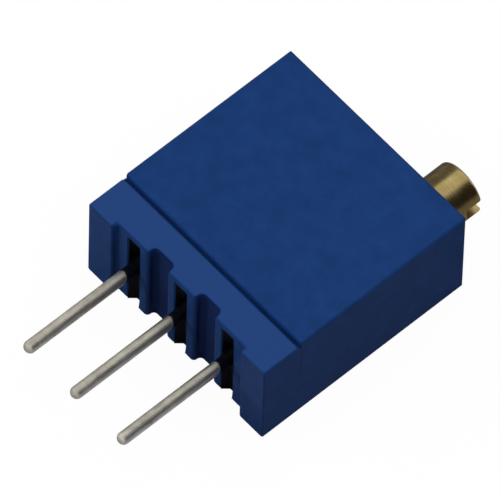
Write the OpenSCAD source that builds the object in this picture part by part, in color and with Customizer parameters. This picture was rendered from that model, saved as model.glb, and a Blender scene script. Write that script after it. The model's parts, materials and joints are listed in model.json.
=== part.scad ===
// Square multi-turn trimmer potentiometer: a worm on the adjusting screw turns a rotor,
// and the rotor's wiper slides round a resistive film printed on a ceramic plate.
// The origin is on the middle pin's axis, in the plane of the two feet. Pins point along -Y,
// the screw comes out towards +Y, and the raised broad face looks up along +Z.

/* [Body] */
// Width of the body across the pins
body_w = 9.53; // [9.4:0.01:9.9]
// Length of the body from the feet to the screw end
body_l = 9.8; // [9.7:0.05:10.3]
// Thickness of the body at its raised face
body_t = 4.7; // [4.65:0.05:5.1]
// How far the base lies below the raised face
step_h = 0.16; // [0.1:0.01:0.22]
// Length of the base that shows beyond the cover
strip_l = 1.78; // [1.7:0.01:1.9]
// Width of the open seam between base and cover on the broad face
seam_w = 0.1; // [0.06:0.01:0.16]
// Rounding of the outer edges
edge_r = 0.12; // [0.1:0.01:0.28]

/* [Walls] */
// Side walls of the cover
side_wall = 0.6; // [0.5:0.05:0.65]
// Wall under the raised face
front_wall = 0.65; // [0.6:0.01:0.66]
// Wall behind the substrate
back_wall = 0.9; // [0.7:0.05:1]
// Wall at the screw end
end_wall = 0.7; // [0.6:0.05:0.8]

/* [Pin side] */
// Width of each foot
foot_w = 1.3; // [1:0.05:1.4]
// Height of the feet
foot_h = 0.23; // [0.1:0.01:0.3]
// Width of the two notches between the pins
notch_w = 1; // [0.9:0.05:1.1]
// Depth of the notches below the feet
notch_depth = 0.58; // [0.5:0.01:0.7]
// Rounding of the notch corners
notch_r = 0.17; // [0.1:0.01:0.2]
// Width of the pin slots
slot_w = 0.6; // [0.56:0.01:0.7]
// Thickness of the lip that closes each slot at the broad face
lip_t = 0.28; // [0.2:0.01:0.4]
// Depth of the seals' surface below the feet
seal_depth = 0.38; // [0.34:0.01:0.5]

/* [Pins] */
// Diameter of the pins
pin_d = 0.51; // [0.45:0.01:0.55]
// Distance between neighbouring pins
pin_pitch = 2.54; // [2.5:0.01:2.6]
// Length of the pins below the feet
pin_l = 5; // [3:0.1:6]
// How far the pins' axes lie behind the screw's axis
pin_drop = 0.51; // [0.46:0.01:0.56]
// Bevel on the pin tips
pin_bevel = 0.08; // [0.04:0.01:0.12]
// Thickness of the pins' flattened roots, behind the plane of the feet
root_t = 0.42; // [0.36:0.01:0.44]

/* [Adjusting screw] */
// Diameter of the screw's round end
head_d = 2.19; // [2.1:0.01:2.25]
// How far the screw stands out of the body
head_out = 1.52; // [1:0.01:2]
// Width of the screwdriver slot
driver_w = 0.64; // [0.4:0.01:0.7]
// Depth of the screwdriver slot
driver_depth = 0.76; // [0.5:0.01:0.9]
// Distance of the screw's axis from the nearer side of the body
screw_side = 1.86; // [1.8:0.01:1.95]
// Depth of the screw's axis below the raised face
screw_depth = 1.69; // [1.66:0.01:1.75]

/* [Worm drive] */
// Teeth of the rotor, which is also turns of the screw for one turn of the rotor
rotor_teeth = 30; // [28:1:32]
// Tooth height above and below the pitch circle
tooth_h = 0.18; // [0.16:0.01:0.19]
// Pitch radius of the worm
worm_r = 0.63; // [0.6:0.01:0.64]
// Thickness of the rotor's toothed disc
rotor_t = 0.8; // [0.6:0.05:0.8]
// Half travel of the rotor, in degrees
half_travel = 150; // [120:5:150]

/* [Fits] */
// Radial clearance of the turning fits
run_gap = 0.02; // [0.015:0.005:0.03]
// Clearance between faces that slide or slip together
face_gap = 0.03; // [0.02:0.01:0.04]
// Free space round the rotor's teeth
rotor_gap = 0.26; // [0.2:0.01:0.28]

/* [Hidden] */
$fn = 64;

// Body walls and levels; the pins' axes are the zero level
half_w = body_w / 2;
top_z = screw_depth + pin_drop;
back_z = top_z - body_t;
strip_z = top_z - step_h;
room_w = body_w - 2 * side_wall;
room_top = top_z - front_wall;
room_bottom = back_z + back_wall;
room_end = body_l - end_wall;

// Base: slots, pocket for the substrate's edge, and the tongues that enter the cover
pin_r = pin_d / 2;
root_half = root_t / 2;
slot_floor = 1;
web_t = 0.2;
pocket_y = slot_floor + web_t;
tongue_l = 0.52;
tongue_end = strip_l + tongue_l;
seam_depth = 0.3;
meniscus_h = 0.05;
notch_x = pin_pitch / 2;

// Worm drive: the rotor is as large as the room in the cover lets it be
screw_x = half_w - screw_side;
screw_z = pin_drop;
rotor_y = (tongue_end + room_end) / 2;
pitch_by_width = (screw_x + room_w / 2 - worm_r - tooth_h - rotor_gap) / 2;
pitch_by_length = (room_end - tongue_end) / 2 - tooth_h - rotor_gap;
pitch_r = min(pitch_by_width, pitch_by_length);
rotor_x = screw_x - worm_r - pitch_r;
tooth_pitch = 2 * PI * pitch_r / rotor_teeth;
tooth_half = tooth_pitch / 6;
tooth_root_gap = 0.05;
flank = tan(20);
thread_r = worm_r + tooth_h - 0.01;
core_r = worm_r - tooth_h - tooth_root_gap;
worm_half_l = 1.8;
worm_start = rotor_y - worm_half_l;
worm_end = rotor_y + worm_half_l;
rotor_tip = pitch_r + tooth_h;
rotor_root = pitch_r - tooth_h - tooth_root_gap;
rotor_bottom = screw_z - rotor_t / 2;
rotor_top = screw_z + rotor_t / 2;
hub_r = 1.2;
hub_top = room_top - face_gap;
journal_r = 0.7;
journal_h = 0.33;

// Stops: a lug on the rotor meets a post under the front wall at both ends of the travel
lug_in = hub_r + 0.4;
lug_out = lug_in + 0.9;
lug_half = 14;
lug_top = rotor_top + 0.34;
post_half = 180 - half_travel - lug_half - 1;
post_bottom = rotor_top + 3 * face_gap;

// Adjusting screw along Y, from the round end inwards
head_r = head_d / 2;
screw_tip = body_l + head_out;
boss_l = 1.47;
boss_wall = 0.6;
boss_r = head_r + boss_wall;
boss_y = body_l - boss_l;
shank_y = boss_y + face_gap;
ring_y = boss_y + 0.42;
ring_w = 0.44;
groove_depth = 0.37;
ring_groove_r = head_r - groove_depth;
clip_t = 0.24;
clip_half_w = head_r + 0.05;
clip_rise = 0.9;
clip_y = boss_y - clip_t;
collar_r = worm_r + 0.07;
collar_l = 0.3;
neck_r = 0.36;
neck_y = clip_y - face_gap;
web_y = tongue_end + 0.3;
tail_web_t = 0.6;
web_end = web_y + tail_web_t;
tail_r = 0.36;
tail_bevel = 0.08;
tail_y = web_y - 0.04;
core_y = web_end + face_gap;
shaft_r = core_r - 0.04;
chamfer = 0.1;

// Element: the substrate lies behind the pins' roots and clear of the worm
film_t = 0.03;
film_gap = 0.04;
plate_top = min(-root_half, screw_z - thread_r) - film_t - film_gap;
film_z = plate_top + film_t;
plate_t = 0.65;
plate_bottom = plate_top - plate_t;
plate_w = room_w - 0.2;
plate_y = pocket_y + face_gap;
plate_end = clip_y - 2 * face_gap;
solder_r = 0.42;
solder_y = pocket_y + 0.3;
pin_end = tongue_end + 0.05;
pocket_top = root_half + 0.12;

// Wiper and film layout on the substrate
track_w = 0.7;
track_r = plate_end - 0.15 - track_w / 2 - rotor_y;
track_half = half_travel + 6;
end_half = 4;
pad_r = 0.75;
pad_margin = 0.1;
trace_w = 0.42;
trace_y = solder_y + 0.5;
contact_t = 0.08;
contact_bottom = rotor_bottom - contact_t;
finger_w = 0.13;
finger_step = 0.22;
finger_l = 0.45;
finger_t = 0.06;
finger_root = 0.1;
stake_r = 0.16;
stake_x = 1.3;

// ---------- helpers ----------

// Cylinder along +Y from y0 to y1, with its axis at x, z
module rod(x, z, y0, y1, r) {
    translate([x, y0, z]) rotate([-90, 0, 0]) cylinder(h = y1 - y0, r = r);
}

// Box between two corners
module block(p, q) {
    translate(p) cube(q - p);
}

// Rectangle between two corners, with all four corners rounded
module round_rect(p, q, r) {
    translate([p[0] + r, p[1]]) square([q[0] - p[0] - 2 * r, q[1] - p[1]]);
    translate([p[0], p[1] + r]) square([q[0] - p[0], q[1] - p[1] - 2 * r]);
    for (x = [p[0] + r, q[0] - r], y = [p[1] + r, q[1] - r]) translate([x, y]) circle(r = r);
}

// Body section across the length, from back_z up to the given level, drawn along +Y
module body_section(y0, y1, level) {
    translate([0, y1, 0]) rotate([90, 0, 0]) linear_extrude(y1 - y0)
        round_rect([-half_w, back_z], [half_w, level], edge_r);
}

// Ring sector about the rotor's axis, centred on the +X direction turned by angle
module sector(angle, half_angle, r_in, r_out) {
    translate([rotor_x, rotor_y]) rotate(angle - half_angle) intersection() {
        difference() {
            circle(r = r_out);
            circle(r = r_in);
        }
        wedge(2 * half_angle, r_out * 2);
    }
}

// Open wedge from the +X direction round to the given angle, in quarter steps
module wedge(angle, r) {
    steps = ceil(angle / 60);
    polygon(concat([[0, 0]], [for (i = [0:steps]) r * [cos(angle * i / steps), sin(angle * i / steps)]]));
}

// ---------- case ----------

module case_cover() {
    color("royalblue") difference() {
        union() {
            difference() {
                cover_shell();
                block([-room_w / 2, strip_l - 1, room_bottom], [room_w / 2, room_end, room_top]);
            }
            cover_ribs();
            screw_boss();
            tail_web();
            stop_post();
        }
        rod(screw_x, screw_z, boss_y - 1, body_l + 1, head_r + run_gap);
        rod(screw_x, screw_z, web_y - 1, web_end + 1, tail_r + run_gap);
        translate([rotor_x, rotor_y, room_top - 1]) cylinder(h = 1 + journal_h + face_gap, r = journal_r + run_gap);
    }
}

// Outer form of the cover: rounded along its length and at the corners of the screw end
module cover_shell() {
    intersection() {
        body_section(strip_l, body_l, top_z);
        translate([0, 0, back_z]) linear_extrude(body_t)
            round_rect([-half_w, -1], [half_w, body_l], edge_r);
        rotate([90, 0, 90]) linear_extrude(2 * body_w, center = true)
            round_rect([-1, back_z], [body_l, top_z], edge_r);
    }
}

// Two ribs on the back wall that carry the substrate
module cover_ribs() {
    for (x = [-2.6, 2.6]) {
        block([x - 0.3, tongue_end + 0.2, room_bottom - 0.1], [x + 0.3, plate_end, plate_bottom]);
    }
}

// Thick seat for the screw's round end and its seal
module screw_boss() {
    intersection() {
        rod(screw_x, screw_z, boss_y, room_end + 0.1, boss_r);
        block([screw_x - boss_r, boss_y, room_bottom], [room_w / 2 + 0.1, room_end + 0.1, room_top + 0.1]);
    }
}

// Web from the side wall that holds the screw's tail
module tail_web() {
    block([screw_x - 0.75, web_y, plate_top + 0.1], [room_w / 2 + 0.1, web_end, room_top + 0.1]);
}

// Post under the front wall that the rotor's lug meets at both ends of its travel
module stop_post() {
    translate([0, 0, post_bottom]) linear_extrude(room_top + 0.1 - post_bottom)
        sector(-90, post_half, lug_in, lug_out);
}

module terminal_base() {
    color("royalblue") difference() {
        union() {
            intersection() {
                body_section(0, strip_l, strip_z);
                translate([0, 0, back_z]) linear_extrude(body_t) base_outline();
            }
            block([-room_w / 2 + face_gap, strip_l - 0.1, room_bottom + face_gap],
                  [room_w / 2 - face_gap, tongue_end, room_top - face_gap]);
        }
        for (i = [-1:1]) {
            pin_slot(i * pin_pitch);
            root(i * pin_pitch, slot_floor - 0.1, pocket_y + 0.1, face_gap);
        }
        block([-plate_w / 2 - face_gap, pocket_y, plate_bottom - face_gap],
              [plate_w / 2 + face_gap, tongue_end + 1, pocket_top]);
        block([-body_w, strip_l - seam_w, strip_z - seam_depth], [body_w, strip_l, top_z]);
    }
}

// Pin side of the base seen from the broad face: feet, recess and the two notches
module base_outline() {
    difference() {
        translate([-half_w, 0]) square([body_w, strip_l]);
        translate([-half_w + foot_w, -1]) square([body_w - 2 * foot_w, 1 + foot_h]);
        for (side = [-1, 1]) translate([side * notch_x, foot_h]) notch();
    }
}

// Notch with rounded bottom and mouth, cut into the recess between the feet
module notch() {
    deep = notch_depth - foot_h;
    translate([-notch_w / 2, -0.1]) square([notch_w, deep + 0.1 - notch_r]);
    translate([-notch_w / 2 + notch_r, -0.1]) square([notch_w - 2 * notch_r, deep + 0.1]);
    for (side = [-1, 1]) {
        translate([side * (notch_w / 2 - notch_r), deep - notch_r]) circle(r = notch_r);
        difference() {
            translate([side * (notch_w / 2 + notch_r / 2), notch_r / 2 - 0.05])
                square([notch_r, notch_r + 0.1], center = true);
            translate([side * (notch_w / 2 + notch_r), notch_r]) circle(r = notch_r);
        }
    }
}

// Slot round one pin, open at the pin side and at the back
module pin_slot(x) {
    block([x - slot_w / 2, -1, back_z - 1], [x + slot_w / 2, slot_floor, strip_z - lip_t]);
}

// ---------- pins, seals and solder ----------

module seal(x) {
    color("black") difference() {
        union() {
            block([x - slot_w / 2, seal_depth, back_z + 0.06], [x + slot_w / 2, slot_floor, strip_z - lip_t]);
            meniscus(x);
        }
        root(x, 0, slot_floor + 1, 0);
    }
}

// Sealant drawn up round the pin
module meniscus(x) {
    translate([x, seal_depth - meniscus_h, 0]) rotate([-90, 0, 0])
        cylinder(h = meniscus_h, r1 = pin_r + meniscus_h / 2, r2 = slot_w / 2);
}

module left_seal() {
    seal(-pin_pitch);
}

module middle_seal() {
    seal(0);
}

module right_seal() {
    seal(pin_pitch);
}

// Flattened inner part of a pin, widened all round by a gap
module root(x, y0, y1, gap) {
    block([x - pin_r - gap, y0, -root_half - gap], [x + pin_r + gap, y1, root_half + gap]);
}

module pin(x) {
    color("silver") {
        rod(x, 0, pin_bevel - pin_l, 0, pin_r);
        root(x, 0, pin_end, 0);
        translate([x, -pin_l, 0]) rotate([-90, 0, 0]) cylinder(h = pin_bevel, r1 = pin_r - pin_bevel, r2 = pin_r);
    }
}

module left_pin() {
    pin(-pin_pitch);
}

module middle_pin() {
    pin(0);
}

module right_pin() {
    pin(pin_pitch);
}

// Solder that wraps the end of one pin on its film
module solder(x) {
    color("gainsboro") difference() {
        intersection() {
            rod(x, 0, solder_y, pin_end + 0.1, solder_r);
            block([x - 1, solder_y, film_z], [x + 1, pin_end + 0.1, root_half + film_gap]);
        }
        root(x, 0, pin_end, 0);
    }
}

module left_solder() {
    solder(-pin_pitch);
}

module middle_solder() {
    solder(0);
}

module right_solder() {
    solder(pin_pitch);
}

// ---------- element ----------

module ceramic_substrate() {
    color("whitesmoke") block([-plate_w / 2, plate_y, plate_bottom], [plate_w / 2, plate_end, plate_top]);
}

// Horseshoe film, open towards the pins
module resistive_track() {
    color("dimgray") film() track_area();
}

module track_area() {
    difference() {
        translate([rotor_x, rotor_y]) circle(r = track_r + track_w / 2);
        translate([rotor_x, rotor_y]) circle(r = track_r - track_w / 2);
        translate([rotor_x, rotor_y]) rotate(-90 - (180 - track_half)) wedge(2 * (180 - track_half), 2 * track_r);
    }
}

module film() {
    translate([0, 0, plate_top]) linear_extrude(film_t) children();
}

// Straight printed line with round ends
module trace(p, q) {
    d = q - p;
    translate(p) rotate(atan2(d[1], d[0])) translate([0, -trace_w / 2]) square([norm(d), trace_w]);
    for (end = [p, q]) translate(end) circle(r = trace_w / 2);
}

// Pad under one pin
module pin_pad(x) {
    translate([x - solder_r - pad_margin, solder_y - pad_margin])
        square([2 * (solder_r + pad_margin), pin_end + 0.1 - solder_y + 2 * pad_margin]);
}

// Line from an outer pin to one end of the track
module end_conductor(side) {
    bend = [side * pin_pitch, pin_end + 0.5];
    angle = -90 + side * (180 - track_half - end_half);
    end = [rotor_x, rotor_y] + track_r * [cos(angle), sin(angle)];
    color("lightgray") film() difference() {
        union() {
            pin_pad(side * pin_pitch);
            trace([side * pin_pitch, trace_y], bend);
            trace(bend, end);
            sector(angle, end_half + 0.2, track_r - track_w / 2, track_r + track_w / 2);
        }
        track_area();
    }
}

module left_conductor() {
    end_conductor(-1);
}

module right_conductor() {
    end_conductor(1);
}

// Line from the middle pin through the mouth of the track to the collector pad
module middle_conductor() {
    near = [0, pin_end + 0.4];
    bend = [rotor_x, rotor_y - track_r - track_w / 2];
    color("lightgray") film() {
        pin_pad(0);
        trace([0, trace_y], near);
        trace(near, bend);
        trace(bend, [rotor_x, rotor_y]);
        translate([rotor_x, rotor_y]) circle(r = pad_r);
    }
}

// ---------- rotor and wiper ----------

module rotor() {
    color("wheat") union() {
        translate([rotor_x, rotor_y, rotor_bottom]) linear_extrude(rotor_t) toothed_outline();
        translate([rotor_x, rotor_y, rotor_bottom]) cylinder(h = hub_top - rotor_bottom, r = hub_r);
        translate([rotor_x, rotor_y, rotor_bottom]) cylinder(h = room_top + journal_h - rotor_bottom, r = journal_r);
        translate([0, 0, rotor_bottom]) linear_extrude(lug_top - rotor_bottom)
            sector(90, lug_half, lug_in, lug_out);
        for (side = [-1, 1]) {
            translate([rotor_x + side * stake_x, rotor_y, contact_bottom - 0.02])
                cylinder(h = contact_t + 0.12, r = stake_r);
        }
    }
}

// Straight-flanked teeth; a gap faces the worm at the middle of the travel
module toothed_outline() {
    points = [
        for (i = [0:rotor_teeth - 1])
            let (mid = (i + 0.5) * 360 / rotor_teeth)
            for (corner = [[-1, rotor_root], [-1, rotor_tip], [1, rotor_tip], [1, rotor_root]])
                let (half = tooth_half - (corner[1] - pitch_r) * flank)
                [corner[1] * cos(mid) - corner[0] * half * sin(mid),
                 corner[1] * sin(mid) + corner[0] * half * cos(mid)]
    ];
    polygon(points);
}

// Stamped spring: plate under the rotor, three fingers on the track, two on the collector
module wiper_contact() {
    color("goldenrod") {
        difference() {
            translate([0, 0, contact_bottom]) linear_extrude(contact_t) contact_plate();
            for (side = [-1, 1]) {
                translate([rotor_x + side * stake_x, rotor_y, contact_bottom - 1])
                    cylinder(h = 2, r = stake_r);
            }
        }
        for (i = [-1:1]) finger(track_r + i * finger_step);
        for (i = [1, 2]) finger(i * finger_step);
    }
}

module contact_plate() {
    difference() {
        union() {
            translate([rotor_x, rotor_y]) circle(r = 1.7);
            translate([rotor_x - 0.9, rotor_y]) square([0.5, track_r + 0.36]);
        }
        translate([rotor_x - 0.4, rotor_y]) square([0.8, track_r]);
    }
}

// Bent finger that leaves the plate along +X and ends in a rounded tip on the film
module finger(r) {
    tip_z = film_z + face_gap / 2 + finger_t - contact_bottom;
    translate([rotor_x - finger_l, rotor_y + r + finger_w / 2, contact_bottom]) rotate([90, 0, 0])
        linear_extrude(finger_w) {
            polygon([[0, 0], [0, finger_t], [finger_root, finger_t], [finger_l, tip_z + finger_t],
                     [finger_l - finger_t / 2, tip_z], [finger_root - finger_t / 2, 0]]);
            translate([finger_l, tip_z]) circle(r = finger_t);
        }
}

// ---------- adjusting screw ----------

module adjusting_screw() {
    color("goldenrod") difference() {
        translate([screw_x, 0, screw_z]) rotate([-90, 0, 0]) {
            rotate_extrude() screw_profile();
            worm();
        }
        block([screw_x - 2, screw_tip - driver_depth, screw_z - driver_w / 2],
              [screw_x + 2, screw_tip + 1, screw_z + driver_w / 2]);
    }
}

// Turned outline: tail, collar, shaft inside the worm, collar, neck for the clip, and the
// round end with the seal groove
module screw_profile() {
    polygon([
        [0, tail_y], [tail_r - tail_bevel, tail_y], [tail_r, tail_y + tail_bevel], [tail_r, core_y],
        [collar_r, core_y], [collar_r, core_y + collar_l], [shaft_r, core_y + collar_l],
        [shaft_r, neck_y - collar_l], [collar_r, neck_y - collar_l], [collar_r, neck_y],
        [neck_r, neck_y], [neck_r, shank_y], [head_r, shank_y], [head_r, ring_y],
        [ring_groove_r, ring_y], [ring_groove_r, ring_y + ring_w], [head_r, ring_y + ring_w],
        [head_r, screw_tip - chamfer], [head_r - chamfer, screw_tip], [0, screw_tip]
    ]);
}

// Right-handed single thread whose crest faces the rotor at the rotor's own level
module worm() {
    turns = (worm_end - worm_start) / tooth_pitch;
    translate([0, 0, worm_start])
        linear_extrude(worm_end - worm_start, twist = -360 * turns, slices = ceil(16 * turns), segments = 16)
            rotate(180 + 360 * (worm_start - rotor_y) / tooth_pitch) worm_profile();
}

// Section square to the screw's axis: crest arc, two spiral flanks and the round root
module worm_profile() {
    crest = 360 * (tooth_half + (worm_r - thread_r) * flank) / tooth_pitch;
    root = 360 * (tooth_half + (worm_r - core_r) * flank) / tooth_pitch;
    side = concat(
        [for (i = [0.5, 1]) [crest * i, thread_r]],
        [for (i = [1:4]) [crest + (root - crest) * i / 4, thread_r + (core_r - thread_r) * i / 4]],
        [[(root + 180) / 2, core_r]]
    );
    points = concat([[0, thread_r]], side, [[180, core_r]], [for (i = [6:-1:0]) [-side[i][0], side[i][1]]]);
    polygon([for (p = points) p[1] * [cos(p[0]), sin(p[0])]]);
}

module screw_seal() {
    ring_r = (head_r + run_gap - 0.005 - ring_groove_r) / 2 - 0.0025;
    color("black") translate([screw_x, ring_y + ring_w / 2, screw_z]) rotate([-90, 0, 0])
        rotate_extrude() translate([ring_groove_r + ring_r + 0.0025, 0]) circle(r = ring_r);
}

// Forked plate that straddles the neck of the screw and stands between the cover's walls
module retaining_clip() {
    slot_r = neck_r + run_gap;
    color("silver") difference() {
        block([screw_x - clip_half_w, clip_y, room_bottom], [screw_x + clip_half_w, boss_y, screw_z + clip_rise]);
        rod(screw_x, screw_z, clip_y - 1, boss_y + 1, slot_r);
        block([screw_x - slot_r, clip_y - 1, screw_z], [screw_x + slot_r, boss_y + 1, screw_z + 2]);
    }
}

case_cover();
terminal_base();
left_seal();
middle_seal();
right_seal();
left_pin();
middle_pin();
right_pin();
left_solder();
middle_solder();
right_solder();
ceramic_substrate();
resistive_track();
left_conductor();
middle_conductor();
right_conductor();
rotor();
wiper_contact();
adjusting_screw();
screw_seal();
retaining_clip();
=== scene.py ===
import json
import math

import bmesh
import bpy
from mathutils import Matrix, Vector


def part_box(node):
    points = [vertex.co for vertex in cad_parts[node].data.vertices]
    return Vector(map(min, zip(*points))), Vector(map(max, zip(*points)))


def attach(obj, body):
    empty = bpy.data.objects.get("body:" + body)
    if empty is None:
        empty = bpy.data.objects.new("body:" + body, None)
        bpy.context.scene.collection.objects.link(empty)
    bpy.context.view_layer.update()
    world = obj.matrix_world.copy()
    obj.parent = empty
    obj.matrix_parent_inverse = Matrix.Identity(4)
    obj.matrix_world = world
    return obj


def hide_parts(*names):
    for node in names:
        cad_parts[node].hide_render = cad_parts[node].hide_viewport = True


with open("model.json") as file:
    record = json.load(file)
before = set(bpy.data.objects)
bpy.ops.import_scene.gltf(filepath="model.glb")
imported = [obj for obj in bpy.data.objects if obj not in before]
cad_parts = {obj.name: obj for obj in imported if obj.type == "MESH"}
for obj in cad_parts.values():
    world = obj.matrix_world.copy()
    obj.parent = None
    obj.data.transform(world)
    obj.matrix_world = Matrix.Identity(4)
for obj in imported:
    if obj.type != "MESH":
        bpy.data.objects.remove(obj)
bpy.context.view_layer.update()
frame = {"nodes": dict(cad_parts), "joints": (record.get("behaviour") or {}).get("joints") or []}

# ---------- Camera ----------
# A long lens, far enough away that parallel edges stay nearly parallel. It looks down on the
# raised face from beyond the pins, and from the side where the adjusting screw lies.
azimuth, elevation, roll = math.radians(46.75), math.radians(58.84), math.radians(1.77)
backward = Vector((math.sin(azimuth) * math.cos(elevation),
                   -math.cos(azimuth) * math.cos(elevation),
                   math.sin(elevation)))
level = Vector((math.cos(azimuth), math.sin(azimuth), 0))
upward = backward.cross(level)
across = level * math.cos(roll) + upward * math.sin(roll)
upward = backward.cross(across)
aim = Vector((-0.000318, 0.003888, 0.000093))
distance, view_width = 0.6, 0.01809  # from the lens to the aim, and what it sees across there
lens = bpy.data.cameras.new("long_lens")
lens.sensor_width = 36
lens.lens = lens.sensor_width * distance / view_width
lens.clip_start, lens.clip_end = 0.01, 10
camera = bpy.data.objects.new("camera", lens)
camera.matrix_world = Matrix.Translation(aim + backward * distance) @ Matrix(
    (across, upward, backward)).transposed().to_4x4()
bpy.context.scene.collection.objects.link(camera)
bpy.context.scene.camera = camera
bpy.context.scene.view_settings.view_transform = "Standard"


# ---------- Table, backdrop and lamps ----------
# White card lies under the part and fades into a white surround. One wide soft box hangs over
# the body and a weaker one stands off the pins. Toned cards round the part show only where it
# mirrors them, which is mainly in the bare metal.
class Wire:
    """A socket in a node tree. Arithmetic adds Math nodes, and add() adds any other node."""

    def __init__(self, tree, socket=None):
        self.tree, self.socket = tree, socket

    def add(self, kind, settings=(), inputs=(), output=0):
        made = self.tree.nodes.new(kind)
        for name, value in dict(settings).items():
            if name == "stops":
                ramp = made.color_ramp.elements
                while len(ramp) < len(value):
                    ramp.new(0.5)
                for element, (position, colour) in zip(ramp, value):
                    element.position = position
                    element.color = (*colour, 1)
            else:
                setattr(made, name, value)
        for name, value in dict(inputs).items():
            if isinstance(value, Wire):
                self.tree.links.new(value.socket, made.inputs[name])
            else:
                made.inputs[name].default_value = value
        return Wire(self.tree, made.outputs[output] if made.outputs else None)

    def math(self, operation, a, b=0.0, c=0.0):
        return self.add("ShaderNodeMath", {"operation": operation}, {0: a, 1: b, 2: c})

    def __add__(self, other):
        return self.math("ADD", self, other)

    def __sub__(self, other):
        return self.math("SUBTRACT", self, other)

    def __rsub__(self, other):
        return self.math("SUBTRACT", other, self)

    def __mul__(self, other):
        return self.math("MULTIPLY", self, other)

    def __truediv__(self, other):
        return self.math("DIVIDE", self, other)

    def __rtruediv__(self, other):
        return self.math("DIVIDE", other, self)

    def __pow__(self, other):
        return self.math("POWER", self, other)

    __radd__, __rmul__ = __add__, __mul__


def start_tree(owner):
    owner.use_nodes = True
    owner.node_tree.nodes.clear()
    return Wire(owner.node_tree)


def background_rays(tree):
    """1 for rays that show the background: from the camera, off metal and through glass."""
    seen, mirrored, passed = (tree.add("ShaderNodeLightPath", (), (), name)
                              for name in ("Is Camera Ray", "Is Glossy Ray", "Is Transmission Ray"))
    return tree.math("MINIMUM", seen + mirrored + passed, 1.0)


def flat_sheet(name, corners, material):
    mesh = bpy.data.meshes.new(name)
    mesh.from_pydata(corners, [], [(0, 1, 2, 3)])
    mesh.materials.append(material)
    sheet = bpy.data.objects.new(name, mesh)
    bpy.context.scene.collection.objects.link(sheet)
    return sheet


table_gap = 0.00001  # keeps the table's face apart from the part's flat back
table_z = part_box("case_cover")[0].z - table_gap
table_half = 0.6
card = bpy.data.materials.new("white_card")
tree = start_tree(card)
paper = tree.add("ShaderNodeBsdfDiffuse", (), {"Color": (0.8, 0.8, 0.8, 1), "Roughness": 0.5})
bounce = tree.add("ShaderNodeBsdfDiffuse", (), {"Color": (0.34, 0.34, 0.34, 1), "Roughness": 0.5})
# The camera sees mostly plain white here, with enough lit paper in it to keep the part's shadow
seen = tree.add("ShaderNodeLightPath", (), (), "Is Camera Ray")
plain = tree.add("ShaderNodeEmission", (), {"Color": (1, 1, 1, 1), "Strength": 1.04})
shown = tree.add("ShaderNodeMixShader", (), {0: seen * 0.92, 1: paper, 2: plain})
lit = tree.add("ShaderNodeMixShader", (), {0: background_rays(tree), 1: bounce, 2: shown})
tree.add("ShaderNodeOutputMaterial", (), {"Surface": lit})
flat_sheet("table_card", [(x * table_half, y * table_half, table_z)
                          for x, y in ((-1, -1), (1, -1), (1, 1), (-1, 1))], card)

world = bpy.data.worlds.new("surround")
bpy.context.scene.world = world
tree = start_tree(world)
direction = tree.add("ShaderNodeTexCoord", (), (), "Generated")
height = tree.add("ShaderNodeSeparateXYZ", (), {0: direction}, "Z")
room = tree.add("ShaderNodeValToRGB", {"stops": [(0.0, (0.2, 0.2, 0.2)), (0.5, (0.05, 0.05, 0.052)),
                                                 (0.7, (0.12, 0.12, 0.122)), (1.0, (0.25, 0.25, 0.25))]},
                {0: height * 0.5 + 0.5})
dim = tree.add("ShaderNodeBackground", (), {"Color": room, "Strength": 1.0})
white = tree.add("ShaderNodeBackground", (), {"Color": (1, 1, 1, 1), "Strength": 1.0})
shown = tree.add("ShaderNodeMixShader", (), {0: background_rays(tree), 1: dim, 2: white})
tree.add("ShaderNodeOutputWorld", (), {"Surface": shown})

middle = Vector((0, 0.004, 0))
for name, place, size, power in (
        ("soft_box", (0.014, 0.022, 0.056), (0.090, 0.080), 0.026),
        ("front_box", (-0.056, -0.046, 0.040), (0.050, 0.040), 0.026)):
    light = bpy.data.lights.new(name, "AREA")
    light.shape = "RECTANGLE"
    light.size, light.size_y = size
    light.energy = power
    lamp = bpy.data.objects.new(name, light)
    lamp.location = place
    lamp.rotation_euler = (middle - Vector(place)).to_track_quat("-Z", "Y").to_euler()
    lamp.visible_glossy = False
    bpy.context.scene.collection.objects.link(lamp)

warm, cool = (1.0, 0.95, 0.95), (0.93, 0.98, 1.15)
wall_x, wall_top = 0.0105, 0.034
card_lift = 0.00005  # holds the low cards clear of the table
tone_height = 0.036  # the tones of an upright card are spread over this height


def even(tone):
    """The stops of one tone all over a card."""
    return (0.0, tone), (1.0, tone)


def upright(near, far):
    """The corners of a card that stands beside the part, with its ends at these places along Y."""
    return [(wall_x, y, z)
            for y, z in ((near, table_z), (far, table_z), (far, wall_top), (near, wall_top))]


def low(left, right, near, far):
    """The corners of a card that lies on the table beside the part."""
    return [(x, y, table_z + card_lift)
            for x, y in ((left, near), (right, near), (right, far), (left, far))]


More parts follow.
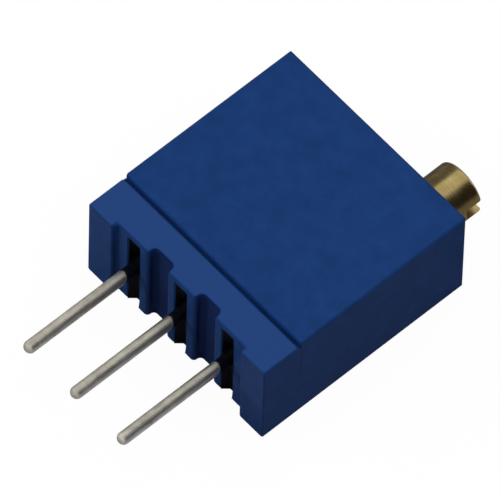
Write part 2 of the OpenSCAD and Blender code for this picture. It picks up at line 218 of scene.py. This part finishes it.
for name, tint, tones, corners in (
        ("screw_wall_card", warm, ((0.0, 0.27), (0.08, 0.24), (0.12, 0.03), (0.34, 0.03), (0.45, 0.07),
                                   (0.59, 0.3), (0.89, 0.8), (1.0, 1.0)), upright(0.009, 0.024)),
        ("pin_wall_card", cool, ((0.0, 0.42), (0.06, 0.38), (0.12, 0.15), (0.34, 0.11), (0.45, 0.12),
                                 (0.59, 0.3), (0.89, 0.8), (1.0, 1.0)), upright(-0.008, 0.009)),
        ("pin_low_card", cool, even(0.6), low(0.001, 0.0104, -0.008, -0.0005)),
        ("right_low_card", warm, even(0.27), low(0.0016, 0.0104, 0.0099, 0.018)),
        ("side_low_card", warm, even(0.34), low(0.0048, 0.0104, -0.0004, 0.0085)),
        ("left_low_card", warm, even(0.14), low(-0.040, 0.0015, 0.0099, 0.034)),
        ("left_dark_card", warm, even(0.18), [(-0.010, 0.0099, 0.017), (-0.010, 0.044, 0.017),
                                              (-0.040, 0.044, 0.0), (-0.040, 0.0099, 0.0)])):
    dull = bpy.data.materials.new(name)
    tree = start_tree(dull)
    point = tree.add("ShaderNodeTexCoord", (), (), "Object")
    height = tree.add("ShaderNodeSeparateXYZ", (), {0: point}, "Z")
    stops = [(place, tuple(tone * part for part in tint)) for place, tone in tones]
    tone = tree.add("ShaderNodeValToRGB", {"stops": stops}, {0: (height - table_z) / tone_height})
    glow = tree.add("ShaderNodeEmission", (), {"Color": tone, "Strength": 1.0})
    tree.add("ShaderNodeOutputMaterial", (), {"Surface": glow})
    sheet = flat_sheet(name, corners, dull)
    for kind in ("camera", "diffuse", "shadow", "transmission", "volume_scatter"):
        setattr(sheet, "visible_" + kind, False)


# ---------- Case: cap and pin base ----------
# Two mouldings of dark blue glass-filled plastic with a fine spark-eroded skin. The cap drops
# over the base and is cemented to it, which leaves an open seam across the raised face only.
def parts_of(tree, vector, axes="XYZ"):
    """The parts of a vector along these axes, each as a wire."""
    return [tree.add("ShaderNodeSeparateXYZ", (), {0: vector}, axis) for axis in axes]


def in_mm(tree, point):
    """A place in millimetres, for patterns whose scales are in them."""
    return tree.add("ShaderNodeVectorMath", {"operation": "SCALE"}, {0: point, "Scale": 1000.0})


def mixed(tree, share, first, second):
    """Two colours mixed, with this share of the second."""
    return tree.add("ShaderNodeMix", {"data_type": "RGBA"}, {0: share, 6: first, 7: second}, 2)


def noise(tree, point, scale, detail, roughness=0.5):
    return tree.add("ShaderNodeTexNoise", (), {"Vector": point, "Scale": scale, "Detail": detail,
                                               "Roughness": roughness})


def bumpy(tree, depth, height):
    """A surface normal for bumps that are this many metres deep."""
    return tree.add("ShaderNodeBump", (), {"Strength": 1.0, "Distance": depth, "Height": height})


def shaded(tree, sockets):
    """Ends a material's tree with a Principled shader that takes these sockets."""
    shader = tree.add("ShaderNodeBsdfPrincipled", (), sockets)
    tree.add("ShaderNodeOutputMaterial", (), {"Surface": shader})


def moulded_plastic(name, colour, grain, gloss, ledge_z, hollow_shade=0.0):
    """Blue moulding compound, paler above ledge_z. Painted shade can darken the pin side's hollows."""
    hollow_shade_half, hollow_shade_rear = 0.0034, 0.0012  # the painted shade's reach to each side of the middle, and inwards
    hollow_shade_from, hollow_shade_full = 0.00024, 0.0004  # depths at which it begins and is whole
    made = bpy.data.materials.new(name)
    tree = start_tree(made)
    point = tree.add("ShaderNodeTexCoord", (), (), "Object")
    side, depth, level = parts_of(tree, point)
    point = in_mm(tree, point)
    skin = noise(tree, point, scale=14.0, detail=4.0, roughness=0.6)
    pits = tree.add("ShaderNodeTexVoronoi", {"feature": "F1"}, {"Vector": point, "Scale": 9.0})
    cloud = noise(tree, point, scale=1.6, detail=3.0)
    dark = tuple(c * 0.78 for c in colour)
    light = tuple(c * 1.22 for c in colour)
    paint = mixed(tree, skin * 0.6 + cloud * 1.1 - 0.35, (*dark, 1), (*light, 1))
    # faces above ledge_z are simply painted a paler blue than the rest
    above_ledge = tree.math("GREATER_THAN", level, ledge_z)
    pale = tuple(c * 1.2 + 0.0085 for c in colour)
    paint = mixed(tree, above_ledge * (skin * 0.3 + 0.8), paint, (*pale, 1))
    # painted shade: places on the pin side lying deeper than the depth above are darkened towards dark
    # navy, as shade in the hollows
    sunk = tree.add("ShaderNodeMapRange", {"interpolation_type": "SMOOTHSTEP"},
                    {0: depth + (cloud - 0.5) * 0.0001, 1: hollow_shade_from, 2: hollow_shade_full})
    inside = (tree.math("LESS_THAN", tree.math("ABSOLUTE", side), hollow_shade_half)
              * tree.math("LESS_THAN", depth, hollow_shade_rear) * (1.0 - above_ledge))
    paint = mixed(tree, sunk * inside * hollow_shade, paint, (0.0006, 0.006, 0.055, 1))
    shaded(tree, {"Base Color": paint, "Roughness": skin * 0.16 + gloss,
                  "Normal": bumpy(tree, grain, skin * 0.7 + pits * 0.3), "Specular IOR Level": 0.04})
    return made


def cleaned(node):
    """A copy of a CAD node's mesh, with its doubles merged and its flat faces whole, for editing."""
    shape = bmesh.new()
    shape.from_mesh(frame["nodes"][node].data)
    bmesh.ops.remove_doubles(shape, verts=shape.verts, dist=1e-7)
    bmesh.ops.dissolve_limit(shape, angle_limit=math.radians(0.5), verts=shape.verts,
                             edges=shape.edges)
    return shape


def placed(shape, name):
    """A new object at the origin with this edit mesh."""
    mesh = bpy.data.meshes.new(name)
    shape.to_mesh(mesh)
    shape.free()
    piece = bpy.data.objects.new(name, mesh)
    bpy.context.scene.collection.objects.link(piece)
    return piece


def settled(piece):
    """Works the piece's modifiers into a plain mesh."""
    graph = bpy.context.evaluated_depsgraph_get()
    mesh = bpy.data.meshes.new_from_object(piece.evaluated_get(graph), depsgraph=graph,
                                           preserve_all_data_layers=True)
    piece.modifiers.clear()
    piece.data = mesh
    return piece


def rounded(piece, width, segments=3):
    """Rounds the edges by their bevel weights, and shades flat faces flat."""
    bevel = piece.modifiers.new("edges", "BEVEL")
    bevel.width = width
    bevel.segments = segments
    bevel.limit_method = "WEIGHT"
    bevel.use_clamp_overlap = False
    settled(piece)
    piece.data.shade_smooth()
    piece.data.set_sharp_from_angle(angle=math.radians(35))
    piece.modifiers.new("normals", "WEIGHTED_NORMAL").keep_sharp = True
    return settled(piece)


def weigh_edges(shape, weight_at):
    """Gives each sharp edge the bevel weight that weight_at returns for its two ends."""
    layer = shape.edges.layers.float.new("bevel_weight_edge")
    for edge in shape.edges:
        if edge.is_manifold and edge.calc_face_angle() > math.radians(40):
            edge[layer] = weight_at(*(corner.co for corner in edge.verts))


def finished(piece, material, body, slot, *nodes):
    """Gives a piece its material and its body, and hides the CAD nodes that it stands for. The slot is
    not used.
    """
    piece.data.materials.clear()
    piece.data.materials.append(material)
    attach(piece, body)
    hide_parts(*nodes)


touch = 1e-6  # places closer together than this count as one
case_blue = (0.0125, 0.0535, 0.206)
shape = cleaned("case_cover")
mouth_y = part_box("case_cover")[0].y
raised_z = 0.0019  # of the mouth's edges, only the raised face's lies above this


def cap_weight(a, b):
    """Soft along the seam, less elsewhere, and none where the mouth is cemented to the base."""
    if max(a.y, b.y) > mouth_y + touch:
        return 0.5
    return 1.0 if min(a.z, b.z) > raised_z else 0.0


weigh_edges(shape, cap_weight)
cap = rounded(placed(shape, "cap_moulding"), 0.0001)
finished(cap, moulded_plastic("blue_cap_plastic", case_blue, grain=0.0000035, gloss=0.42, ledge_z=1.0),
         "case", "blue_plastic", "case_cover")

base_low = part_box("terminal_base")[0]
shape = cleaned("terminal_base")
strip_z = max(corner.co.z for corner in shape.verts if corner.co.y < 0.5 * mouth_y)
seam_y = max(corner.co.y for corner in shape.verts if corner.co.z > strip_z - touch)
below_floor, above_floor = 0.0017, 0.0018  # the bottom of the open seam lies between these levels
cement_depth = 0.00014
for corner in shape.verts:  # cement fills the bottom of the seam
    if seam_y - touch < corner.co.y < mouth_y + touch and below_floor < corner.co.z < above_floor:
        corner.co.z = strip_z - cement_depth

# Places in metres that tell the base's edges apart
floor_y, tongue_y = 0.0007, 0.0016  # the slots' floors and the holes behind them lie between these
foot_x = 0.0045  # the feet reach further out than this
step_in_x, step_out_x, step_y = 0.0033, 0.0037, 0.0004  # the steps from foot to rib lie within these
rib_x, rib_y = 0.0031, 0.00025  # the ribs' front faces lie within these
notch_y, slot_y = 0.00075, 0.0011  # the notches end before the first, and the slots before the second


def base_weight(a, b):
    """Soft along the seam and the pin side's outline, less at slots and feet, none behind the seals."""
    near, far, wide = min(a.y, b.y), max(a.y, b.y), max(abs(a.x), abs(b.x))
    if near > floor_y and far < tongue_y:
        return 0.0
    if near > seam_y - touch and far < seam_y + touch and min(a.z, b.z) > above_floor:
        return 0.7
    if near > mouth_y - touch and far < mouth_y + touch:
        return 0.0
    if far < base_low.y + touch and wide > foot_x:
        return 0.4
    if abs(a.x - b.x) + abs(a.y - b.y) < touch and step_in_x < abs(a.x) < step_out_x and a.y < step_y:
        return 0.72
    if not any(abs(a.z - z) < touch and abs(b.z - z) < touch for z in (strip_z, base_low.z)):
        return 0.5 if far < rib_y and wide < rib_x else 0.25
    return 1.0 if far < notch_y else 0.6 if far < slot_y else 0.25


weigh_edges(shape, base_weight)
base = rounded(placed(shape, "base_moulding"), 0.00015, 4)
# the base's pin-side hollows get painted shade
finished(base, moulded_plastic("blue_base_plastic", case_blue, grain=0.000003, gloss=0.42,
                               ledge_z=strip_z - 0.00003, hollow_shade=0.65),
         "case", "blue_plastic", "terminal_base")


# ---------- Resin seals ----------
# Black epoxy, poured into the three slots of the base round the pins. It sank as it set, and
# stayed drawn up along the slot walls and round each wire.
def node_rule(name, sizes):
    """A geometry node group with these named sizes: (group, first wire, its inputs as wires)."""
    group = bpy.data.node_groups.new(name, "GeometryNodeTree")
    kinds = {float: "NodeSocketFloat", tuple: "NodeSocketVector",
             bpy.types.Material: "NodeSocketMaterial"}
    group.interface.new_socket("Geometry", in_out="INPUT", socket_type="NodeSocketGeometry")
    for label, value in sizes.items():
        group.interface.new_socket(label, in_out="INPUT", socket_type=kinds[type(value)])
    group.interface.new_socket("Geometry", in_out="OUTPUT", socket_type="NodeSocketGeometry")
    given = group.nodes.new("NodeGroupInput")
    return group, Wire(group), {socket.name: Wire(group, socket) for socket in given.outputs}


def ends_in(tree, geometry, material):
    """Ends a tree with Realize Instances, smooth shading and Set Material."""
    geometry = tree.add("GeometryNodeRealizeInstances", (), {"Geometry": geometry})
    geometry = tree.add("GeometryNodeSetShadeSmooth", (), {"Geometry": geometry, "Shade Smooth": True})
    geometry = tree.add("GeometryNodeSetMaterial", (), {"Geometry": geometry, "Material": material})
    tree.add("NodeGroupOutput", (), {"Geometry": geometry})


def in_a_row(tree, shape, pitch):
    """Three copies of a shape along X, a pitch apart, with the second one where the shape is."""
    row = tree.add("GeometryNodeMeshLine", (), {
        "Count": 3, "Start Location": tree.add("ShaderNodeCombineXYZ", (), {0: pitch * -1.0}),
        "Offset": tree.add("ShaderNodeCombineXYZ", (), {0: pitch})})
    return tree.add("GeometryNodeInstanceOnPoints", (), {"Points": row, "Instance": shape})


def worked(group, sizes, name, start=None):
    """The plain mesh object that a node group makes with these sizes, from this start if there is one."""
    piece = start or bpy.data.objects.new(name, bpy.data.meshes.new(name))
    if not start:
        bpy.context.scene.collection.objects.link(piece)
    modifier = piece.modifiers.new(name, "NODES")
    modifier.node_group = group
    for socket in group.interface.items_tree:
        if socket.in_out == "INPUT" and socket.name in sizes:
            modifier[socket.identifier] = sizes[socket.name]
    return settled(piece)


resin = bpy.data.materials.new("black_resin")
tree = start_tree(resin)
point = in_mm(tree, tree.add("ShaderNodeTexCoord", (), (), "Object"))
ripple = noise(tree, point, scale=3.5, detail=2.0)
dust = noise(tree, point, scale=40.0, detail=3.0)
paint = mixed(tree, dust, (0.0012, 0.0014, 0.0030, 1), (0.0030, 0.0034, 0.0062, 1))
shaded(tree, {"Base Color": paint, "Roughness": dust * 0.2 + 0.2,
              "Normal": bumpy(tree, 0.000012, ripple), "Specular IOR Level": 0.025})

seal_low, seal_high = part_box("middle_seal")
wire_low, wire_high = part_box("middle_pin")
wire_r = (wire_high.x - wire_low.x) / 2
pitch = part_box("right_pin")[0].x - wire_low.x
wall_gap, end_gap = 0.000002, 0.000005  # thin gaps from the resin to the slot's walls and its low end
sizes = {"Half width": (seal_high.x - seal_low.x) / 2 - wall_gap, "Rear": seal_high.y,
         "Top": seal_high.z, "Bottom": seal_low.z + end_gap, "Sunk level": 0.00055,
         "Rise at wall": 0.00027, "Rise at wire": 0.00046, "Wall reach": 0.00024, "Wire reach": 0.00007,
         "Wire radius": wire_r, "Heel": 0.00005, "Heel reach": 0.0003, "Pitch": pitch, "Material": resin}
group, tree, size = node_rule("slot_fill", sizes)
tall = size["Top"] - size["Bottom"]
some_depth = 0.001  # only tells the front from the rear, since both are put in place below
extent = tree.add("ShaderNodeCombineXYZ", (), {0: size["Half width"] * 2.0, 1: some_depth, 2: tall})
block = tree.add("GeometryNodeMeshCube", (), {"Size": extent, "Vertices X": 41, "Vertices Y": 2,
                                              "Vertices Z": 131})
x, y, z = parts_of(tree, tree.add("GeometryNodeInputPosition"))
z = z + size["Bottom"] + tall * 0.5
wall = size["Half width"] - tree.math("ABSOLUTE", x)
edge = tree.math("MINIMUM", wall, size["Top"] - z)
soft_end, soft_meet = 0.2, 0.00003  # how gently the rise at a wall ends, and meets the one at the wire
at_wall = tree.math("SMOOTH_MAX", 1.0 - edge / size["Wall reach"], 0.0, soft_end) * size["Rise at wall"]
off_wire = tree.math("MAXIMUM", (x * x + z * z) ** 0.5 - size["Wire radius"], 0.0)
at_wire = tree.math("EXPONENT", off_wire / size["Wire reach"] * -1.0) * size["Rise at wire"]
rise = tree.math("SMOOTH_MAX", at_wall, at_wire, soft_meet)
heel = tree.math("EXPONENT", (z - size["Bottom"]) / size["Heel reach"] * -1.0) * size["Heel"]
face = size["Sunk level"] - rise - heel
front = tree.math("LESS_THAN", y, 0.0)
place = tree.add("ShaderNodeCombineXYZ", (), {0: x, 1: front * face + (1.0 - front) * size["Rear"], 2: z})
block = tree.add("GeometryNodeSetPosition", (), {"Geometry": block, "Position": place})
ends_in(tree, in_a_row(tree, block, size["Pitch"]), size["Material"])
seals = worked(group, sizes, "resin_seals")
seals.data.set_sharp_from_angle(angle=math.radians(60))
finished(seals, resin, "case", "black_epoxy", "left_seal", "middle_seal", "right_seal")


# ---------- Connecting pins ----------
# Three straight copper wires, hot-dipped in tin that drew out in streaks, with blunt sheared
# tips. Their inner ends are pressed flat. A dark skin a little way down each one is partly resin
# and partly painted shade and reflection of the dark body near the root.
tinned = bpy.data.materials.new("dipped_tin")
tree = start_tree(tinned)
point = tree.add("ShaderNodeTexCoord", (), (), "Object")
y, z = parts_of(tree, point, "YZ")
drawn = tree.add("ShaderNodeVectorMath", {"operation": "MULTIPLY"}, {0: point, 1: (16000, 900, 16000)})
point = in_mm(tree, point)
streak = noise(tree, drawn, scale=1.0, detail=5.0, roughness=0.65)
blotch = noise(tree, point, scale=2.6, detail=4.0)
fleck = noise(tree, point, scale=55.0, detail=2.0)
metal = tree.add("ShaderNodeValToRGB", {"stops": [
    (0.3, (0.28, 0.26, 0.215)), (0.48, (0.48, 0.455, 0.385)), (0.68, (0.66, 0.63, 0.54))]},
    {0: streak * 0.6 + blotch * 0.4})
bare_y, dark_root_y = -0.00043, -0.00033  # the dark skin, part resin and part painted shade, fades out between these places
underside_shade_lean, ragged = 0.6, 0.00015  # painted shade takes it further down the pin's underside, with an uneven edge
# painted shade: each pin's root is darkened, partly as a resin skin and partly as shade and reflection of
# the dark body
resin_and_shade = tree.add("ShaderNodeMapRange", {"interpolation_type": "SMOOTHSTEP"},
                 {0: y - z * underside_shade_lean + (blotch - 0.5) * ragged, 1: bare_y, 2: dark_root_y})
paint = mixed(tree, resin_and_shade, metal, (0.0035, 0.0045, 0.012, 1))
shaded(tree, {"Base Color": paint, "Metallic": 1.0 - resin_and_shade,
              "Roughness": streak * 0.25 + fleck * 0.08 + 0.27,
              "Normal": bumpy(tree, 0.000006, streak + fleck * 0.2), "Specular IOR Level": 0.04})

sizes = {"Tip": wire_low.y, "Inner end": wire_high.y, "Radius": wire_r, "Tip rounding": 0.00025,
         "Flat half": 0.00021, "Unevenness": 0.000009, "Pitch": pitch, "Material": tinned}
group, tree, size = node_rule("dipped_wires", sizes)
line = tree.add("GeometryNodeCurvePrimitiveLine", (), {"Start": (0, 0, 0), "End": (0, 1, 0)})
line = tree.add("GeometryNodeResampleCurve", (), {"Curve": line, "Count": 150})
share = tree.add("GeometryNodeSplineParameter", (), (), "Factor") ** 2.0
y = size["Tip"] + (size["Inner end"] - size["Tip"]) * share
line = tree.add("GeometryNodeSetPosition", (), {
    "Geometry": line, "Position": tree.add("ShaderNodeCombineXYZ", (), {1: y})})
y = parts_of(tree, tree.add("GeometryNodeInputPosition"), "Y")[0]
short = tree.math("MAXIMUM", size["Tip rounding"] - (y - size["Tip"]), 0.0)
level = tree.math("MAXIMUM", size["Tip rounding"] ** 2.0 - short * short, 0.0)
sag = size["Tip rounding"] - level ** 0.5
ring = tree.add("GeometryNodeCurvePrimitiveCircle", (), {"Resolution": 40, "Radius": 1.0})
wire = tree.add("GeometryNodeCurveToMesh", (), {"Curve": line, "Profile Curve": ring,
                                                "Scale": size["Radius"] - sag, "Fill Caps": True})
x, y, z = parts_of(tree, tree.add("GeometryNodeInputPosition"))
round_y, flat_y = -0.00002, 0.00016  # the wire is still round at one, and pressed flat at the other
flat = tree.add("ShaderNodeMapRange", {"interpolation_type": "SMOOTHSTEP"},
                {0: y, 1: round_y, 2: flat_y, 3: size["Radius"], 4: size["Flat half"]})
squeezed = tree.math("MINIMUM", tree.math("MAXIMUM", z, flat * -1.0), flat)
wire = tree.add("GeometryNodeSetPosition", (), {
    "Geometry": wire, "Position": tree.add("ShaderNodeCombineXYZ", (), {0: x, 1: y, 2: squeezed})})
wire = tree.add("GeometryNodeRealizeInstances", (), {"Geometry": in_a_row(tree, wire, size["Pitch"])})
drawn = tree.add("ShaderNodeVectorMath", {"operation": "MULTIPLY"},
                 {0: tree.add("GeometryNodeInputPosition"), 1: (2600, 1100, 2600)})
drop = noise(tree, drawn, scale=1.0, detail=2.0)
inward = tree.add("ShaderNodeVectorMath", {"operation": "SCALE"}, {
    0: tree.add("GeometryNodeInputNormal"), "Scale": drop * size["Unevenness"] * -1.0})
wire = tree.add("GeometryNodeSetPosition", (), {"Geometry": wire, "Offset": inward})
ends_in(tree, wire, size["Material"])
pins = worked(group, sizes, "tinned_wires")
pins.data.set_sharp_from_angle(angle=math.radians(50))
finished(pins, tinned, "case", "tinned_wire", "left_pin", "middle_pin", "right_pin")


# ---------- Solder joints ----------
# Tin-lead solder that ties each pin's flat root to its printed pad inside the case. It froze
# slowly, so its skin is grey and finely wrinkled rather than bright.
def inside_finish(name, dark, light, grain, relief, gloss, stretch=(1, 1, 1), metallic=0.0, specular=0.5):
    """A finish for a part inside the case: two colours, and a grain in mm that stretch can draw out."""
    made = bpy.data.materials.new(name)
    tree = start_tree(made)
    point = tree.add("ShaderNodeTexCoord", (), (), "Object")
    point = tree.add("ShaderNodeVectorMath", {"operation": "MULTIPLY"},
                     {0: point, 1: tuple(1000 * s / grain for s in stretch)})
    fine = noise(tree, point, scale=1.0, detail=5.0, roughness=0.6)
    broad = noise(tree, point, scale=0.12, detail=2.0)
    cells = tree.add("ShaderNodeTexVoronoi", {"feature": "F1"}, {"Vector": point, "Scale": 0.7})
    tone = tree.add("ShaderNodeMapRange", (), {0: fine * 0.6 + broad * 0.3 + cells * 0.15,
                                               1: 0.3, 2: 0.75})
    paint = mixed(tree, tone, (*dark, 1), (*light, 1))
    shaded(tree, {"Base Color": paint, "Metallic": metallic, "Roughness": fine * 0.25 + gloss,
                  "Normal": bumpy(tree, relief, fine * 0.7 + cells * 0.3),
                  "Specular IOR Level": specular})
    return made


def dress(material, *nodes):
    """Gives CAD parts, whose shapes are right as they are, their real finish."""
    for node in nodes:
        for held in frame["nodes"][node].material_slots:
            held.material = material


dress(inside_finish("frozen_solder", (0.34, 0.34, 0.34), (0.60, 0.60, 0.58), grain=0.09,
                    relief=0.000008, gloss=0.22, metallic=1.0),
      "left_solder", "middle_solder", "right_solder")

# ---------- Printed element ----------
# A white alumina plate, fired and laser-scribed to size. Silver-palladium lines and a horseshoe of
# black cermet are screen-printed on it and fired again.
dress(inside_finish("fired_alumina", (0.66, 0.65, 0.62), (0.86, 0.85, 0.82), grain=0.05,
                    relief=0.000002, gloss=0.45),
      "ceramic_substrate")
dress(inside_finish("black_cermet", (0.010, 0.010, 0.011), (0.055, 0.052, 0.050), grain=0.03,
                    relief=0.000003, gloss=0.3),
      "resistive_track")
dress(inside_finish("printed_silver", (0.36, 0.35, 0.32), (0.66, 0.64, 0.59), grain=0.035,
                    relief=0.000003, gloss=0.38, metallic=0.85),
      "left_conductor", "middle_conductor", "right_conductor")

# ---------- Rotor and wiper ----------
# The toothed rotor is moulded in pale glass-filled nylon. Its stamped spring of gold-washed
# nickel silver is pushed over two studs, and the studs' heads are melted over it.
dress(inside_finish("pale_nylon", (0.50, 0.45, 0.35), (0.68, 0.63, 0.52), grain=0.12,
                    relief=0.000003, gloss=0.4, stretch=(1, 2.5, 1), specular=0.4),
      "rotor")
dress(inside_finish("rolled_spring_metal", (0.55, 0.44, 0.20), (0.80, 0.68, 0.38), grain=0.06,
                    relief=0.0000015, gloss=0.18, stretch=(0.15, 1, 1), metallic=1.0),
      "wiper_contact")


# ---------- Adjusting screw ----------
# Turned from brass rod, with a worm cut along its shaft and a driver slot milled across its
# end. It turns in the bore at the cap's end, and the clip holds it there.
screw_low, screw_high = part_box("adjusting_screw")
axis_x, axis_z = (screw_low.x + screw_high.x) / 2, (screw_low.z + screw_high.z) / 2

brass = bpy.data.materials.new("turned_brass")
tree = start_tree(brass)
point = tree.add("ShaderNodeTexCoord", (), (), "Object")
point = tree.add("ShaderNodeVectorMath", {"operation": "SUBTRACT"}, {0: point, 1: (axis_x, 0, axis_z)})
point = in_mm(tree, point)
x, y, z = parts_of(tree, point)
rings = tree.add("ShaderNodeCombineXYZ", (), {0: (x * x + z * z) ** 0.5 * 30.0, 1: y * 26.0})
lathe = noise(tree, rings, scale=1.0, detail=4.0, roughness=0.7)
stain = noise(tree, point, scale=1.6, detail=4.0)
nick = noise(tree, point, scale=24.0, detail=2.0)
paint = tree.add("ShaderNodeValToRGB", {"stops": [
    (0.34, (0.30, 0.22, 0.085)), (0.5, (0.44, 0.34, 0.14)), (0.64, (0.62, 0.51, 0.26))]},
    {0: stain * 0.5 + lathe * 0.35 + nick * 0.15})
shaded(tree, {"Base Color": paint, "Metallic": 1.0, "Roughness": lathe * 0.12 + stain * 0.14 + 0.12,
              "Normal": bumpy(tree, 0.0000008, lathe + nick * 0.3)})

# The outline of the blank, as (distance behind the driver end, radius) in mm
head, groove, neck, collar, shaft = 1.095, 0.725, 0.36, 0.70, 0.40
round_r, edge = 0.12, 0.02  # the driver end's rounding, and the small bevels further in
rim = [(round_r - round_r * math.cos(a * math.pi / 12),
        head - round_r + round_r * math.sin(a * math.pi / 12)) for a in range(7)]
outline = [(0, 0)] + rim + [
    (2.15 - edge, head), (2.15, head - edge), (2.15, groove),  # down into the ring's groove
    (2.57, groove), (2.57, head - edge), (2.57 + edge, head),  # and out of it
    (2.96 - 1.5 * edge, head), (2.96, head - 1.5 * edge), (2.96, neck),  # down to the clip's neck
    (3.26, neck), (3.26, collar - edge), (3.26 + edge, collar),  # up to one collar
    (3.56 - edge, collar), (3.56, collar - edge), (3.56, shaft),  # down to the shaft inside the worm
    (7.79, shaft), (7.79, collar - edge), (7.79 + edge, collar),  # up to the other collar
    (8.09 - edge, collar), (8.09, collar - edge), (8.09, neck),  # down to the tail
    (8.76 - 4 * edge, neck), (8.76, neck - 4 * edge), (8.76, 0)]
shape = bmesh.new()
points = [shape.verts.new((axis_x + r / 1000, screw_high.y - back / 1000, axis_z)) for back, r in outline]
edges = [shape.edges.new(pair) for pair in zip(points, points[1:])]
bmesh.ops.spin(shape, geom=points + edges, cent=(axis_x, 0, axis_z), axis=(0, 1, 0),
               angle=2 * math.pi, steps=96, use_merge=True)
bmesh.ops.remove_doubles(shape, verts=shape.verts, dist=1e-8)
bmesh.ops.recalc_face_normals(shape, faces=shape.faces)
screw = placed(shape, "brass_screw")

# The section of the driver slot's cutter, as (distance past the driver end, height) in mm
cut_half, cut_deep, clear = 0.32, 0.76, 0.2
lip, root, mid = 0.03, 0.05, 0.3  # roundings at its mouth and floor, and how far in their middles lie
section = [(clear, cut_half + lip), (0, cut_half + lip), (-mid * lip, cut_half + mid * lip),
           (-lip, cut_half), (root - cut_deep, cut_half),
           (mid * root - cut_deep, cut_half - mid * root), (-cut_deep, cut_half - root)]
section += [(y, -z) for y, z in reversed(section)]
cut_reach = 0.002  # in metres, past the driver end's edge on both sides
shape = bmesh.new()
ends = [[shape.verts.new((axis_x + side * cut_reach, screw_high.y + y / 1000, axis_z + z / 1000))
         for y, z in section] for side in (-1, 1)]
shape.faces.new(ends[0])
shape.faces.new(reversed(ends[1]))
for i in range(len(section)):
    j = (i + 1) % len(section)
    shape.faces.new((ends[0][j], ends[0][i], ends[1][i], ends[1][j]))
bmesh.ops.recalc_face_normals(shape, faces=shape.faces)
cutter = placed(shape, "slot_cutter")
mill = screw.modifiers.new("driver_slot", "BOOLEAN")
mill.operation, mill.solver, mill.object = "DIFFERENCE", "EXACT", cutter
settled(screw)
bpy.data.objects.remove(cutter)

# The worm's thread, swept along a helix whose lead is the spacing of the rotor's teeth
wheel = next(joint["pos_m"] for joint in frame["joints"] if joint["name"] == "wiper_turn")
pitch_r, teeth, worm_half = 0.00296, 30, 0.0018
lead = 2 * math.pi * pitch_r / teeth
sizes = {"Axis": (axis_x, 0.0, axis_z), "Start": wheel[1] - worm_half, "Length": 2 * worm_half,
         "Lead": lead, "Wheel level": wheel[1], "Root radius": 0.00038, "Crest radius": 0.0008,
         "Root half": 0.000194, "Crest half": 0.0000415, "Material": brass}
group, tree, size = node_rule("worm_thread", sizes)
line = tree.add("GeometryNodeCurvePrimitiveLine", (), {"Start": (0, 0, 0), "End": (0, 0, 1)})
line = tree.add("GeometryNodeResampleCurve", (), {"Curve": line, "Count": 240})
along = size["Start"] + size["Length"] * tree.add("GeometryNodeSplineParameter", (), (), "Factor")
turn = (along - size["Wheel level"]) / size["Lead"] * (2 * math.pi) + math.pi
place = tree.add("ShaderNodeCombineXYZ", (), {0: tree.math("COSINE", turn) * size["Root radius"],
                                              1: tree.math("SINE", turn) * size["Root radius"], 2: along})
line = tree.add("GeometryNodeSetPosition", (), {"Geometry": line, "Position": place})
line = tree.add("GeometryNodeSetCurveNormal", {"mode": "Z_UP"}, {"Curve": line})
height = size["Crest radius"] - size["Root radius"]
corners = [tree.add("ShaderNodeCombineXYZ", (), {0: x, 1: y}) for x, y in (
    (0.0, size["Root half"] * -1.0), (height, size["Crest half"] * -1.0),
    (height, size["Crest half"]), (0.0, size["Root half"]))]
tooth = tree.add("GeometryNodeCurvePrimitiveQuadrilateral", {"mode": "POINTS"},
                 {"Point %d" % (i + 1): corner for i, corner in enumerate(corners)})
thread = tree.add("GeometryNodeCurveToMesh", (), {"Curve": line, "Profile Curve": tooth,
                                                  "Fill Caps": True})
thread = tree.add("GeometryNodeTransform", (), {"Geometry": thread, "Translation": size["Axis"],
                                                "Rotation": (-math.pi / 2, 0, 0)})
join = tree.tree.nodes.new("GeometryNodeJoinGeometry")
for part in (thread, size["Geometry"]):
    tree.tree.links.new(part.socket, join.inputs[0])
ends_in(tree, Wire(tree.tree, join.outputs[0]), size["Material"])
worked(group, sizes, "worm_thread", screw)
screw.data.set_sharp_from_angle(angle=math.radians(30))
screw.modifiers.new("normals", "WEIGHTED_NORMAL").keep_sharp = True
settled(screw)
finished(screw, brass, "screw", "screw_brass", "adjusting_screw")

# ---------- Screw seal and clip ----------
# A black rubber ring in the screw's groove keeps moisture out. A forked plate of stainless steel
# drops over the screw's neck and stops it from backing out.
dress(inside_finish("black_rubber", (0.012, 0.012, 0.012), (0.035, 0.034, 0.033), grain=0.05,
                    relief=0.000003, gloss=0.5, specular=0.35),
      "screw_seal")
dress(inside_finish("rolled_stainless", (0.42, 0.41, 0.40), (0.62, 0.61, 0.60), grain=0.05,
                    relief=0.0000015, gloss=0.2, stretch=(1, 1, 0.08), metallic=1.0),
      "retaining_clip")
